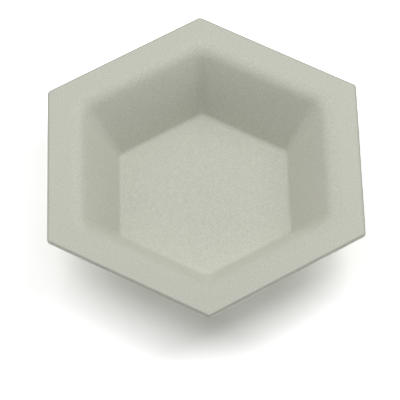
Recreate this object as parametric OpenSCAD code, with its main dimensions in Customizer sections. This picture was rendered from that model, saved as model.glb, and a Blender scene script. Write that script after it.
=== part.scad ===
// Hexagonal weighing dish, formed from one sheet of polystyrene.
// Six sloping walls rise from a flat floor, roll over a soft shoulder and run out into a wide flat
// flange that is trimmed to a hexagon. The flange keeps the full gauge of the sheet, and the walls
// and the floor are thinner, because forming stretches them. Corners point along +Y and -Y.
// Origin: middle of the underside of the floor. +Z is up, and the dish stands on z = 0.

/* [Flange] */
// Width of the flange across two opposite straight edges
flange_across = 92; // [86:1:120]
// Radius of the six trimmed corners of the flange
trim_corner_r = 1.5; // [1:0.5:6]
// Rounding that the trimming die leaves along the upper rim of the cut edge
rim_r = 0.4; // [0.1:0.05:0.5]

/* [Basin] */
// Overall height, from the underside of the floor to the top of the flange
dish_h = 18; // [12:0.2:24]
// Width of the floor across flats, measured inside where floor and wall would meet
floor_across = 50; // [40:0.5:56]
// Width of the mouth across flats, measured where wall and flange would meet
mouth_across = 73.5; // [64:0.5:75]

/* [Sheet] */
// Thickness of the flange, which is the full gauge of the sheet
gauge = 1; // [0.6:0.1:1.4]
// Thickness of the walls and the floor after forming
drawn_t = 0.7; // [0.4:0.1:0.9]
// Radius of the soft shoulder between wall and flange, on the upper side
shoulder_r = 6.4; // [3:0.2:7]
// Radius of the fold between floor and wall, on the inside
floor_r = 2; // [0.4:0.2:3]
// Radius of the upright creases between walls, where they reach the floor
crease_floor_r = 2.2; // [1:0.2:6]
// Radius of the upright creases where they reach the flange
crease_mouth_r = 7.4; // [2:0.2:10]

/* [Hidden] */

SIDES = 6;
SECTOR = 360 / SIDES;
FIRST_CORNER = 90;       // direction of the first corner, seen from above
ARC_STEPS = 6;           // facets round one corner of a ring
FOLD_STEPS = 8;          // facets round one bend of the sheet
RIM_STEPS = 3;           // facets round the upper rim of the cut edge

floor_a = floor_across / 2;
mouth_a = mouth_across / 2;
flange_a = flange_across / 2;

// Slope of the wall above the horizontal, and what a bend of that slope takes up on either side
wall_slope = atan2(dish_h - drawn_t, mouth_a - floor_a);
floor_setback = floor_r * tan(wall_slope / 2);
shoulder_setback = shoulder_r * tan(wall_slope / 2);

// The upper side of the sheet is a row of stations [apothem, height, slope, thickness], from floor
// to flange. The sheet comes back to its full gauge round the shoulder.
floor_bend = [
    for (i = [0 : FOLD_STEPS])
        let (slope = wall_slope * i / FOLD_STEPS)
        [
            floor_a - floor_setback + floor_r * sin(slope),
            drawn_t + floor_r * (1 - cos(slope)),
            slope,
            drawn_t
        ]
];
shoulder_bend = [
    for (i = [0 : FOLD_STEPS])
        let (slope = wall_slope * (1 - i / FOLD_STEPS))
        [
            mouth_a + shoulder_setback - shoulder_r * sin(slope),
            dish_h - shoulder_r * (1 - cos(slope)),
            slope,
            drawn_t + (gauge - drawn_t) * i / FOLD_STEPS
        ]
];
bends = concat(floor_bend, shoulder_bend);
bend_start = bends[0][0];
bend_end = bends[len(bends) - 1][0];

// Corner radius of the upper side at a given apothem: it opens steadily from floor to flange.
function crease_r(apothem) =
    crease_floor_r
    + (crease_mouth_r - crease_floor_r) * (apothem - bend_start) / (bend_end - bend_start);

// A hexagon with rounded corners at height z, given by its apothem and its corner radius
function ring(apothem, corner_r, z) = [
    for (corner = [0 : SIDES - 1], step = [0 : ARC_STEPS])
        let (
            middle = FIRST_CORNER + SECTOR * corner,
            turn = middle + SECTOR * (step / ARC_STEPS - 0.5),
            centre = (apothem - corner_r) / cos(SECTOR / 2)
        )
        [
            centre * cos(middle) + corner_r * cos(turn),
            centre * sin(middle) + corner_r * sin(turn),
            z
        ]
];

// The ring at a station, or at a share of the way through the sheet there, square to its surface
function sheet_ring(station, through) =
    let (depth = station[3] * through, outward = depth * sin(station[2]))
    ring(
        station[0] + outward,
        crease_r(station[0]) + outward,
        station[1] - depth * cos(station[2])
    );

// A ring of the upper rim, part of the way round from the flat of the flange to the cut edge
function rim_ring(turn) =
    let (inward = rim_r * (1 - sin(turn)))
    ring(flange_a - inward, trim_corner_r - inward, dish_h - rim_r * (1 - cos(turn)));

// Closed solid over a row of rings: two triangles for each step round it, a flat cap at each end
module loft(rings) {
    count = len(rings[0]);
    last = len(rings) - 1;
    bands = [
        for (row = [0 : last - 1], i = [0 : count - 1])
            let (
                next = (i + 1) % count,
                here = row * count,
                beyond = here + count
            )
            each [
                [here + i, here + next, beyond + next],
                [here + i, beyond + next, beyond + i]
            ]
    ];
    caps = [
        [for (i = [count - 1 : -1 : 0]) i],
        [for (i = [0 : count - 1]) last * count + i]
    ];
    polyhedron(points = [for (r = rings) each r], faces = concat(bands, caps), convexity = 4);
}

// One skin: from the middle of the basin out over the upper side, round the cut edge, and back
// along the underside
module weighing_dish() {
    upper_side = [for (station = bends) sheet_ring(station, 0)];
    upper_rim = [for (i = [0 : RIM_STEPS]) rim_ring(90 * i / RIM_STEPS)];
    lower_rim = [ring(flange_a, trim_corner_r, dish_h - gauge)];
    underside = [for (i = [len(bends) - 1 : -1 : 0]) sheet_ring(bends[i], 1)];
    color([0.79, 0.79, 0.74])
        loft(concat(upper_side, upper_rim, lower_rim, underside));
}

weighing_dish();
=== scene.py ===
"""Hexagonal weighing dish, formed from one sheet of polystyrene, standing in a plain studio.

The file is laid out as an add-on and runs as a script. One operator builds the dish in place of its
plain solid, the other sets the floor, the lamps, the world and the camera, and main() calls both.
Lengths are in metres and angles in radians.
"""

import math

import bmesh
import bpy
from bpy.props import FloatProperty, FloatVectorProperty, PointerProperty
from bpy.types import Operator, Panel, PropertyGroup
from mathutils import Matrix, Vector


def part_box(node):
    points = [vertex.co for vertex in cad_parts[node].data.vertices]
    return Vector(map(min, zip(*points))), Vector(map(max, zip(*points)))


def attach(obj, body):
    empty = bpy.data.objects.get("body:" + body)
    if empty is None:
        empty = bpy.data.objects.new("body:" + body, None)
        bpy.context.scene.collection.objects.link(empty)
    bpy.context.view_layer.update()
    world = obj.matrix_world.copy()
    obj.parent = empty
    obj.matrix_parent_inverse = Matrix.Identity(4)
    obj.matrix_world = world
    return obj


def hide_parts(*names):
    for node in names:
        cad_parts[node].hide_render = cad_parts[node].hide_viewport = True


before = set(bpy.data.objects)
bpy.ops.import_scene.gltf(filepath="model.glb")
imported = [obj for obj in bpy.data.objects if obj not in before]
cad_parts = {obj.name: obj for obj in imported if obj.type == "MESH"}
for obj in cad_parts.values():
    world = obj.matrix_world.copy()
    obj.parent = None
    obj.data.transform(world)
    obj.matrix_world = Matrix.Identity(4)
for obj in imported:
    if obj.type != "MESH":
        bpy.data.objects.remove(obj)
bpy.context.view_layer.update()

bl_info = {
    "name": "Weighing Dish",
    "version": (1, 0, 0),
    "blender": (4, 5, 0),
    "location": "View3D > Sidebar > Weighing Dish",
    "description": "Builds a hexagonal weighing dish and sets it in a plain studio",
    "category": "Object",
}

NODE = "weighing_dish"
BODY = "root"

SIDES = 6
SECTOR = math.tau / SIDES
CORNER_SEGMENTS = 14     # edges round one corner of a ring
BEND_SEGMENTS = 16       # strips round one bend of the sheet
WALL_STRIPS = 8          # strips up the straight part of a wall
EDGE_SEGMENTS = 6        # strips round each rim of the cut edge
SUPPORT = 0.0005         # distance of a support ring from the bend or edge that it keeps crisp

POLYSTYRENE_IOR = 1.59
NOISE_DETAIL = 2.0       # finer layers added to each noise
NOISE_ROUGHNESS = 0.6    # strength of those layers

# Places of a Mix node's colour sockets, whose names it also gives to its other kinds of socket
MIX_FACTOR, MIX_FROM, MIX_TO, MIX_RESULT = 0, 6, 7, 2

FLOOR_REACH = 2.0        # half the width of the floor
FLOOR_CELLS = 8          # cells along each side of the floor
FLOOR_GAP = 0.00002      # keeps the floor and the underside of the dish from sharing one plane
SHADOW_REACH = 0.12      # distance from the middle within which the floor shows its shading
SENSOR_WIDTH = 36.0      # in millimetres, as the lens is
NEAR_CLIP, FAR_CLIP = 0.01, 10.0

# Each lamp's azimuth and elevation in degrees, its width, and its level, which is the brightness of
# a white card that faces it. Azimuth 0 is in front of the dish and 90 on its right.
LAMPS = {
    "back_right": (117.5, 49.3, 0.285, 0.473),
    "back_left": (245, 50.7, 0.338, 0.420),
    "low_right": (64.7, 8.9, 0.088, 0.196),
    "low_left": (288, 6.7, 0.133, 0.234),
    "overhead": (-10, 88.3, 0.444, 0.248),
}

# The box of the CAD solid gives the height, the width across flats and the length across corners.
CAD_LOW, CAD_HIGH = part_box(NODE)
FLANGE_ACROSS = CAD_HIGH.x - CAD_LOW.x
DISH_HEIGHT = CAD_HIGH.z - CAD_LOW.z
CORNER_TO_CORNER = CAD_HIGH.y - CAD_LOW.y


def trimmed_corner_radius(across_flats, corner_to_corner):
    """Radius that shortens a sharp hexagon's corners to the given length."""
    sharp = across_flats / math.cos(SECTOR / 2)
    return (sharp - corner_to_corner) / 2 / (1 / math.cos(SECTOR / 2) - 1)


def length(name, description, default):
    """A length that a user may change."""
    return FloatProperty(
        name=name,
        description=description,
        default=default,
        min=0.0,
        unit="LENGTH",
        subtype="DISTANCE",
    )


def colour(name, description, default):
    """A colour that a user may change."""
    return FloatVectorProperty(
        name=name,
        description=description,
        default=default,
        min=0.0,
        max=1.0,
        size=3,
        subtype="COLOR",
    )


def angle(name, description, degrees):
    """An angle that a user may change, given here in degrees."""
    return FloatProperty(
        name=name,
        description=description,
        default=math.radians(degrees),
        unit="ROTATION",
        subtype="ANGLE",
    )


def offset(name, description, default):
    """A signed distance that a user may change."""
    return FloatProperty(
        name=name,
        description=description,
        default=default,
        unit="LENGTH",
        subtype="DISTANCE",
    )


def share(name, description, default):
    """A plain number from nothing to full that a user may change."""
    return FloatProperty(
        name=name,
        description=description,
        default=default,
        min=0.0,
        soft_max=1.0,
        subtype="FACTOR",
    )


class DishSizes(PropertyGroup):
    """Sizes of the formed sheet"""

    flange_across: length("Flange across flats", "Width over two opposite cut edges", FLANGE_ACROSS)
    trim_corner: length(
        "Trimmed corner",
        "Radius of the six corners of the flange",
        trimmed_corner_radius(FLANGE_ACROSS, CORNER_TO_CORNER),
    )
    height: length("Height", "From the underside to the top of the flange", DISH_HEIGHT)
    floor_across: length("Floor across flats", "Where floor and wall would meet, inside", 0.050)
    mouth_across: length("Mouth across flats", "Where wall and flange would meet", 0.0735)
    flange_thickness: length("Flange thickness", "Thickness of the flange, seen on its edge", 0.001)
    drawn_thickness: length("Drawn thickness", "Thickness of the walls and the floor", 0.0007)
    shoulder: length("Shoulder", "Radius between wall and flange, on the upper side", 0.0064)
    floor_fold: length("Floor fold", "Radius between floor and wall, on the inside", 0.002)
    crease_at_floor: length("Crease at the floor", "Radius between two walls, low down", 0.0022)
    crease_at_mouth: length("Crease at the mouth", "Radius between two walls, high up", 0.0074)
    upper_rim: length("Upper rim", "Rounding along the top of the cut edge", 0.0004)
    lower_rim: length("Lower rim", "Rounding along the bottom of the cut edge", 0.0001)


class DishFinish(PropertyGroup):
    """Colour and surface of the plastic"""

    plastic: colour("Plastic", "Colour of the sheet", (0.566, 0.571, 0.491))
    cool_tint: colour("Cool tint", "Colour that the mottling drifts to", (0.556, 0.586, 0.506))
    mottling: share("Mottling", "Strength of the faint colour drift", 0.5)
    mottle_size: length("Mottle size", "Width of one patch of the colour drift", 0.006)
    grain_contrast: share("Grain contrast", "How much the fine grain lightens and darkens", 0.5)
    grain_size: length("Grain size", "Width of one grain of the matte surface", 0.00045)
    grain_depth: length("Grain depth", "Height of the grain", 0.00001)
    roughness: share("Roughness", "Roughness of the surface between its grains", 0.55)
    roughness_change: share("Roughness change", "How far the roughness drifts over the sheet", 0.12)
    # Painted shade: a darker line coloured along the rim of the cut edge, with its reach in and down
    painted_rim_shade: share("Rim shade", "How much darker the rim of the cut edge is", 0.45)
    rim_reach: length("Rim reach", "How far in from the rim it is darker", 0.0008)
    rim_depth: length("Rim depth", "How far down from the rim it is darker", 0.0003)


class Studio(PropertyGroup):
    """Camera, lamps and floor"""

    camera_azimuth: angle("Camera azimuth", "Direction of the camera round the dish", -1.2)
    camera_elevation: angle("Camera elevation", "Height of the camera above the horizon", 56.5)
    camera_roll: angle("Camera roll", "Tilt of the camera about its own axis", -0.24)
    camera_distance: length("Camera distance", "From the camera to the point it looks at", 0.843)
    aim_right: offset("Aim right", "How far right of the dish's middle the camera looks", -0.00158)
    aim_back: offset("Aim back", "How far behind the dish's middle the camera looks", -0.01348)
    lens: FloatProperty(name="Lens", description="Focal length", default=261.0, unit="CAMERA")
    lamp_distance: length("Lamp distance", "From every lamp to the middle of the dish", 0.433)
    lamp_strength: share("Lamp strength", "Multiplies the level of every lamp", 1.0)
    world_level: share("World level", "Brightness of a white card lit by the world alone", 0.0094)
    floor_tone: share("Floor tone", "Share of the light that the floor throws back", 0.9)
    floor_shown: FloatProperty(
        name="Shown floor tone",
        description="The same share, in what the camera sees",
        default=1.66,
        min=0.0,
    )


class Wire:
    """A socket of a node tree. Arithmetic on it adds Math nodes, and node() adds any other."""

    def __init__(self, tree, socket=None):
        self.tree = tree
        self.socket = socket

    def node(self, kind, settings=None, sockets=None, output=0):
        """Adds a node, sets it up, fills or links its sockets and gives the wanted output."""
        added = self.tree.nodes.new(kind)
        for name, value in (settings or {}).items():
            setattr(added, name, value)
        for name, value in (sockets or {}).items():
            if isinstance(value, Wire):
                self.tree.links.new(value.socket, added.inputs[name])
            else:
                added.inputs[name].default_value = value
        return Wire(self.tree, added.outputs[output] if len(added.outputs) else None)

    def output(self, name):
        """Another output of the node that this socket is on."""
        return Wire(self.tree, self.socket.node.outputs[name])

    def math(self, operation, *values):
        """Adds a Math node on the values and sockets given."""
        return self.node("ShaderNodeMath", {"operation": operation}, dict(enumerate(values)))

    def __add__(self, other):
        return self.math("ADD", self, other)

    def __radd__(self, other):
        return self.math("ADD", other, self)

    def __sub__(self, other):
        return self.math("SUBTRACT", self, other)

    def __rsub__(self, other):
        return self.math("SUBTRACT", other, self)

    def __mul__(self, other):
        return self.math("MULTIPLY", self, other)

    def __rmul__(self, other):
        return self.math("MULTIPLY", other, self)

    def __abs__(self):
        return self.math("ABSOLUTE", self)

    def maximum(self, other):
        return self.math("MAXIMUM", self, other)

    def rise(self, start, end):
        """0 up to the start, then smoothly up to 1 at the end."""
        return self.node(
            "ShaderNodeMapRange",
            {"interpolation_type": "SMOOTHSTEP"},
            {"Value": self, "From Min": start, "From Max": end},
        )


def node_tree(owner):
    """An empty node tree on a material or a world."""
    owner.use_nodes = True
    owner.node_tree.nodes.clear()
    return Wire(owner.node_tree)


def painted_shade_along_rim(tree, place, finish, sizes):
    """Where the rim is painted darker as shade: 1 along the top of the hexagonal cut edge, falling
    to 0 a short way in over the flange and a short way down the cut."""
    axes = tree.node("ShaderNodeSeparateXYZ", {}, {0: place})
    x, y, z = (axes.output(axis) for axis in "XYZ")
    lean_x, lean_y = x * math.sin(SECTOR / 2), y * math.cos(SECTOR / 2)
    across = abs(x).maximum(abs(lean_x + lean_y)).maximum(abs(lean_y - lean_x))
    edge, top = sizes.flange_across / 2, sizes.height
    return across.rise(edge - finish.rim_reach, edge) * z.rise(top - finish.rim_depth, top)


def polystyrene(finish, sizes):
    """Matte polystyrene: a fine even grain, colour and gloss that drift faintly over the sheet, and
    a slightly darker line of painted shade along the rim that the die has cut."""
    material = bpy.data.materials.new("polystyrene")
    tree = node_tree(material)
    place = tree.node("ShaderNodeTexCoord", output="Object")

    def noise(size):
        """Noise from 0 to 1 whose patches have about the given width."""
        return tree.node(
            "ShaderNodeTexNoise",
            {"noise_dimensions": "3D", "normalize": True},
            {
                "Vector": place,
                "Scale": 1 / size,
                "Detail": NOISE_DETAIL,
                "Roughness": NOISE_ROUGHNESS,
            },
            output="Fac",
        )

    def varied(middle, change, pattern):
        """A number that swings about its middle as a pattern goes from 0 to 1."""
        return middle - change / 2 + pattern * change

    drift = noise(finish.mottle_size)
    grain = noise(finish.grain_size)
    tinted = tree.node(
        "ShaderNodeMix",
        {"data_type": "RGBA"},
        {
            MIX_FACTOR: drift * finish.mottling,
            MIX_FROM: (*finish.plastic, 1.0),
            MIX_TO: (*finish.cool_tint, 1.0),
        },
        output=MIX_RESULT,
    )
    rim = painted_shade_along_rim(tree, place, finish, sizes)
    # The darker line along the rim is painted shade
    lightness = varied(1.0, finish.grain_contrast, grain) * (1 - rim * finish.painted_rim_shade)
    shade = tree.node("ShaderNodeCombineXYZ", {}, {0: lightness, 1: lightness, 2: lightness})
    grained = tree.node("ShaderNodeVectorMath", {"operation": "MULTIPLY"}, {0: tinted, 1: shade})
    relief = tree.node(
        "ShaderNodeBump", {}, {"Height": grain, "Distance": finish.grain_depth, "Strength": 1.0}
    )
    surface = tree.node(
        "ShaderNodeBsdfPrincipled",
        {},
        {
            "Base Color": grained,
            "Roughness": varied(finish.roughness, finish.roughness_change, drift),
            "IOR": POLYSTYRENE_IOR,
            "Normal": relief,
        },
    )
    tree.node("ShaderNodeOutputMaterial", {}, {"Surface": surface})
    return material


def sheet_section(sizes):
    """Rings (apothem, corner radius, height) round the section of the sheet: from the middle of the
    floor out over the upper side, down the cut edge and back along the underside."""
    floor_a, mouth_a = sizes.floor_across / 2, sizes.mouth_across / 2
    drawn, full = sizes.drawn_thickness, sizes.flange_thickness
    wall_slope = math.atan2(sizes.height - drawn, mouth_a - floor_a)
    setback = math.tan(wall_slope / 2)

    # The upper side as points (apothem, height, slope, thickness below)
    turns = [step / BEND_SEGMENTS for step in range(BEND_SEGMENTS + 1)]
    floor_fold = [
        (
            floor_a - sizes.floor_fold * (setback - math.sin(wall_slope * turn)),
            drawn + sizes.floor_fold * (1 - math.cos(wall_slope * turn)),
            wall_slope * turn,
            drawn,
        )
        for turn in turns
    ]
    shoulder = [
        (
            mouth_a + sizes.shoulder * (setback - math.sin(wall_slope * turn)),
            sizes.height - sizes.shoulder * (1 - math.cos(wall_slope * turn)),
            wall_slope * turn,
            full + (drawn - full) * turn,
        )
        for turn in reversed(turns)
    ]
    foot, head = Vector(floor_fold[-1][:2]), Vector(shoulder[0][:2])
    wall = [
        (*foot.lerp(head, step / WALL_STRIPS), wall_slope, drawn) for step in range(1, WALL_STRIPS)
    ]
    first_a, last_a = floor_fold[0][0], shoulder[-1][0]
    skin = [
        (first_a - SUPPORT, drawn, 0.0, drawn),
        *floor_fold,
        *wall,
        *shoulder,
        (last_a + SUPPORT, sizes.height, 0.0, full),
    ]

    def ring(point, depth):
        """The ring at a point of the upper side, or at a depth below it, square to the sheet."""
        apothem, height, slope, _ = point
        opened = min(max((apothem - first_a) / (last_a - first_a), 0.0), 1.0)
        crease = sizes.crease_at_floor + (sizes.crease_at_mouth - sizes.crease_at_floor) * opened
        outward = depth * math.sin(slope)
        return (apothem + outward, crease + outward, height - depth * math.cos(slope))

    def rim(rounding, height, first_turn):
        """A quarter round on the cut edge, about a level that the given height names."""
        steps = range(EDGE_SEGMENTS + 1)
        quarter = [first_turn + math.pi / 2 * step / EDGE_SEGMENTS for step in steps]
        return [
            (
                sizes.flange_across / 2 - rounding * (1 - math.sin(turn)),
                sizes.trim_corner - rounding * (1 - math.sin(turn)),
                height + rounding * math.cos(turn),
            )
            for turn in quarter
        ]

    upper = rim(sizes.upper_rim, sizes.height - sizes.upper_rim, 0.0)
    lower = rim(sizes.lower_rim, sizes.height - full + sizes.lower_rim, math.pi / 2)

    def inside(edge):
        """A ring on the flat, a little way in from the edge of a rim."""
        return (edge[0] - SUPPORT, edge[1] - SUPPORT, edge[2])

    cut_edge = [inside(upper[0]), *upper, *lower, inside(lower[-1])]
    upper_side = [ring(point, 0.0) for point in skin]
    underside = [ring(point, point[3]) for point in reversed(skin)]
    return upper_side + cut_edge + underside


def corner_place(corner, apothem, radius, height):
    """Placement of one corner of a ring: it gives a unit arc about the axis its place and size."""
    return (
        Matrix.Rotation(corner * SECTOR, 4, "Z")
        @ Matrix.Translation((0, (apothem - radius) / math.cos(SECTOR / 2), height))
        @ Matrix.Diagonal((radius, radius, 1, 1))
    )


def first_ring(bm, station):
    """A level ring of edges: six spun arcs joined by straight sides, one corner towards +Y."""
    ends = []
    for corner in range(SIDES):
        place = corner_place(corner, *station)
        start = bm.verts.new(place @ Vector((math.sin(SECTOR / 2), math.cos(SECTOR / 2), 0)))
        spun = bmesh.ops.spin(
            bm,
            geom=[start],
            cent=place.translation,
            axis=(0, 0, 1),
            angle=SECTOR,
            steps=CORNER_SEGMENTS,
        )
        ends.append((start, spun["geom_last"][0]))
    for (_, end), (start, _) in zip(ends, ends[1:] + ends[:1]):
        bm.edges.new((end, start))
    return bm.edges[:]


def next_ring(bm, ring, here, beyond):
    """Extrudes a ring to the next station, where each corner has its new place and radius."""
    grown = bmesh.ops.extrude_edge_only(bm, edges=ring)["geom"]
    verts = [item for item in grown if isinstance(item, bmesh.types.BMVert)]
    for corner in range(SIDES):
        bmesh.ops.transform(
            bm,
            matrix=corner_place(corner, *beyond) @ corner_place(corner, *here).inverted(),
            verts=[v for v in verts if corner_near(v.co) == corner],
        )
    return [item for item in grown if isinstance(item, bmesh.types.BMEdge)]


def corner_near(point):
    """Number of the corner that a point lies nearest to, counted round from the one towards +Y."""
    return round((math.atan2(point.y, point.x) - math.pi / 2) / SECTOR) % SIDES


def settle_order(bm):
    """Puts edges and faces in the order of their vertices, so that every run gives the same mesh."""
    bm.verts.index_update()
    count = len(bm.verts)

    def order(item):
        numbers = [vert.index for vert in item.verts]
        return min(numbers) * count + max(numbers)

    bm.edges.sort(key=order)
    bm.faces.sort(key=order)


def dish_mesh(sizes):
    """The whole sheet, ring by ring round its section, closed by the two sides of the floor."""
    bm = bmesh.new()
    section = sheet_section(sizes)
    ring = first_ring(bm, section[0])
    bmesh.ops.edgeloop_fill(bm, edges=ring)
    for here, beyond in zip(section, section[1:]):
        ring = next_ring(bm, ring, here, beyond)
    bmesh.ops.edgeloop_fill(bm, edges=ring)
    bmesh.ops.recalc_face_normals(bm, faces=bm.faces)
    for face in bm.faces:
        face.smooth = True
    settle_order(bm)
    mesh = bpy.data.meshes.new("dish")
    bm.to_mesh(mesh)
    bm.free()
    return mesh


def link(obj):
    """Puts a new object in the scene."""
    bpy.context.scene.collection.objects.link(obj)
    return obj


class WEIGHING_OT_build_dish(Operator):
    """Build the formed dish in place of its plain solid"""

    bl_idname = "weighing.build_dish"
    bl_label = "Build dish"
    bl_options = {"REGISTER", "UNDO"}

    def execute(self, context):
        sizes = context.scene.dish_sizes
        mesh = dish_mesh(sizes)
        mesh.materials.append(polystyrene(context.scene.dish_finish, sizes))
        dish = link(bpy.data.objects.new("dish", mesh))
        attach(dish, BODY)
        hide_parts(NODE)
        return {"FINISHED"}


def orbit(aim, azimuth, elevation, distance, roll=0.0):
    """Placement that looks at a point from a distance. Azimuth 0 looks along +Y."""
    return (
        Matrix.Translation(aim)
        @ Matrix.Rotation(azimuth, 4, "Z")
        @ Matrix.Rotation(math.pi / 2 - elevation, 4, "X")
        @ Matrix.Rotation(roll, 4, "Z")
        @ Matrix.Translation((0, 0, distance))
    )


def add_camera(studio):
    """The camera that the scene is seen through."""
    data = bpy.data.cameras.new("camera")
    data.lens = studio.lens
    data.sensor_width = SENSOR_WIDTH
    data.clip_start, data.clip_end = NEAR_CLIP, FAR_CLIP
    camera = link(bpy.data.objects.new("camera", data))
    camera.matrix_world = orbit(
        (studio.aim_right, studio.aim_back, DISH_HEIGHT),
        studio.camera_azimuth,
        studio.camera_elevation,
        studio.camera_distance,
        studio.camera_roll,
    )
    bpy.context.scene.camera = camera


def add_lamp(name, azimuth, elevation, distance, size, level):
    """A soft square lamp. Its level is the brightness of a white card that faces it."""
    data = bpy.data.lights.new(name, "AREA")
    data.shape = "SQUARE"
    data.size = size
    data.energy = level * math.pi ** 2 * distance ** 2
    lamp = link(bpy.data.objects.new(name, data))
    lamp.matrix_world = orbit((0, 0, 0), azimuth, elevation, distance)


def seen(tree):
    """1 for what the camera, a reflection or a clear piece looks at, and 0 for light that falls."""
    path = tree.node("ShaderNodeLightPath")
    kinds = ("Camera", "Glossy", "Transmission")
    camera, glossy, clear = (path.output(f"Is {kind} Ray") for kind in kinds)
    return camera + glossy + clear


def grey(value):
    """A colourless tone, opaque."""
    return (value, value, value, 1.0)


def mixed(tree, factor, first, second):
    """The first shader where the factor is 0, and the second where it is 1."""
    return tree.node("ShaderNodeMixShader", {}, {0: factor, 1: first, 2: second})


def add_world(level):
    """A world that lights evenly and looks white."""
    world = bpy.data.worlds.new("studio")
    tree = node_tree(world)
    light, white = (
        tree.node("ShaderNodeBackground", {}, {"Color": grey(1.0), "Strength": strength})
        for strength in (level, 1.0)
    )
    tree.node("ShaderNodeOutputWorld", {}, {"Surface": mixed(tree, seen(tree), light, white)})
    bpy.context.scene.world = world


def floor_material(tone, shown_tone):
    """A pale card for the light that falls. What looks at it sees a brighter card near the dish,
    which keeps the shadow, and plain white further off."""
    material = bpy.data.materials.new("floor")
    tree = node_tree(material)
    card, bright = (
        tree.node("ShaderNodeBsdfDiffuse", {}, {"Color": grey(value)})
        for value in (tone, shown_tone)
    )
    white = tree.node("ShaderNodeEmission", {}, {"Color": grey(1.0), "Strength": 1.0})
    place = tree.node("ShaderNodeTexCoord", output="Object")
    away = tree.node("ShaderNodeVectorMath", {"operation": "LENGTH"}, {0: place}, output="Value")
    shown = mixed(tree, away.rise(SHADOW_REACH, 2 * SHADOW_REACH), bright, white)
    tree.node("ShaderNodeOutputMaterial", {}, {"Surface": mixed(tree, seen(tree), card, shown)})
    return material


def add_floor(material):
    """A wide level floor."""
    bm = bmesh.new()
    bmesh.ops.create_grid(bm, x_segments=FLOOR_CELLS, y_segments=FLOOR_CELLS, size=FLOOR_REACH)
    bmesh.ops.translate(bm, verts=bm.verts, vec=(0, 0, -FLOOR_GAP))
    mesh = bpy.data.meshes.new("floor")
    bm.to_mesh(mesh)
    bm.free()
    mesh.materials.append(material)
    link(bpy.data.objects.new("floor", mesh))


class WEIGHING_OT_set_studio(Operator):
    """Set the floor, the lamps, the world and the camera round the dish"""

    bl_idname = "weighing.set_studio"
    bl_label = "Set studio"
    bl_options = {"REGISTER", "UNDO"}

    def execute(self, context):
        studio = context.scene.dish_studio
        context.scene.view_settings.view_transform = "Standard"
        add_floor(floor_material(studio.floor_tone, studio.floor_shown))
        add_world(studio.world_level)
        for name, (azimuth, elevation, width, level) in LAMPS.items():
            add_lamp(
                name,
                math.radians(azimuth),
                math.radians(elevation),
                studio.lamp_distance,
                width,
                level * studio.lamp_strength,
            )
        add_camera(studio)
        return {"FINISHED"}


class WEIGHING_PT_sidebar(Panel):
    """Sizes, finish and studio of the weighing dish"""

    bl_idname = "WEIGHING_PT_sidebar"
    bl_label = "Weighing Dish"
    bl_space_type = "VIEW_3D"
    bl_region_type = "UI"
    bl_category = "Weighing Dish"

    def draw(self, context):
        for name in PROPERTY_GROUPS:
            box = self.layout.box()
            group = getattr(context.scene, name)
            for prop in type(group).__annotations__:
                box.prop(group, prop)
        for operator in (WEIGHING_OT_build_dish, WEIGHING_OT_set_studio):
            self.layout.operator(operator.bl_idname)


PROPERTY_GROUPS = {"dish_sizes": DishSizes, "dish_finish": DishFinish, "dish_studio": Studio}
CLASSES = (
    *PROPERTY_GROUPS.values(),
    WEIGHING_OT_build_dish,
    WEIGHING_OT_set_studio,
    WEIGHING_PT_sidebar,
)


def register():
    for cls in CLASSES:
        bpy.utils.register_class(cls)
    for name, group in PROPERTY_GROUPS.items():
        setattr(bpy.types.Scene, name, PointerProperty(type=group))


def unregister():
    for name in PROPERTY_GROUPS:
        delattr(bpy.types.Scene, name)
    for cls in reversed(CLASSES):
        bpy.utils.unregister_class(cls)


def main():
    register()
    bpy.ops.weighing.build_dish()
    bpy.ops.weighing.set_studio()


if __name__ == "__main__":
    main()
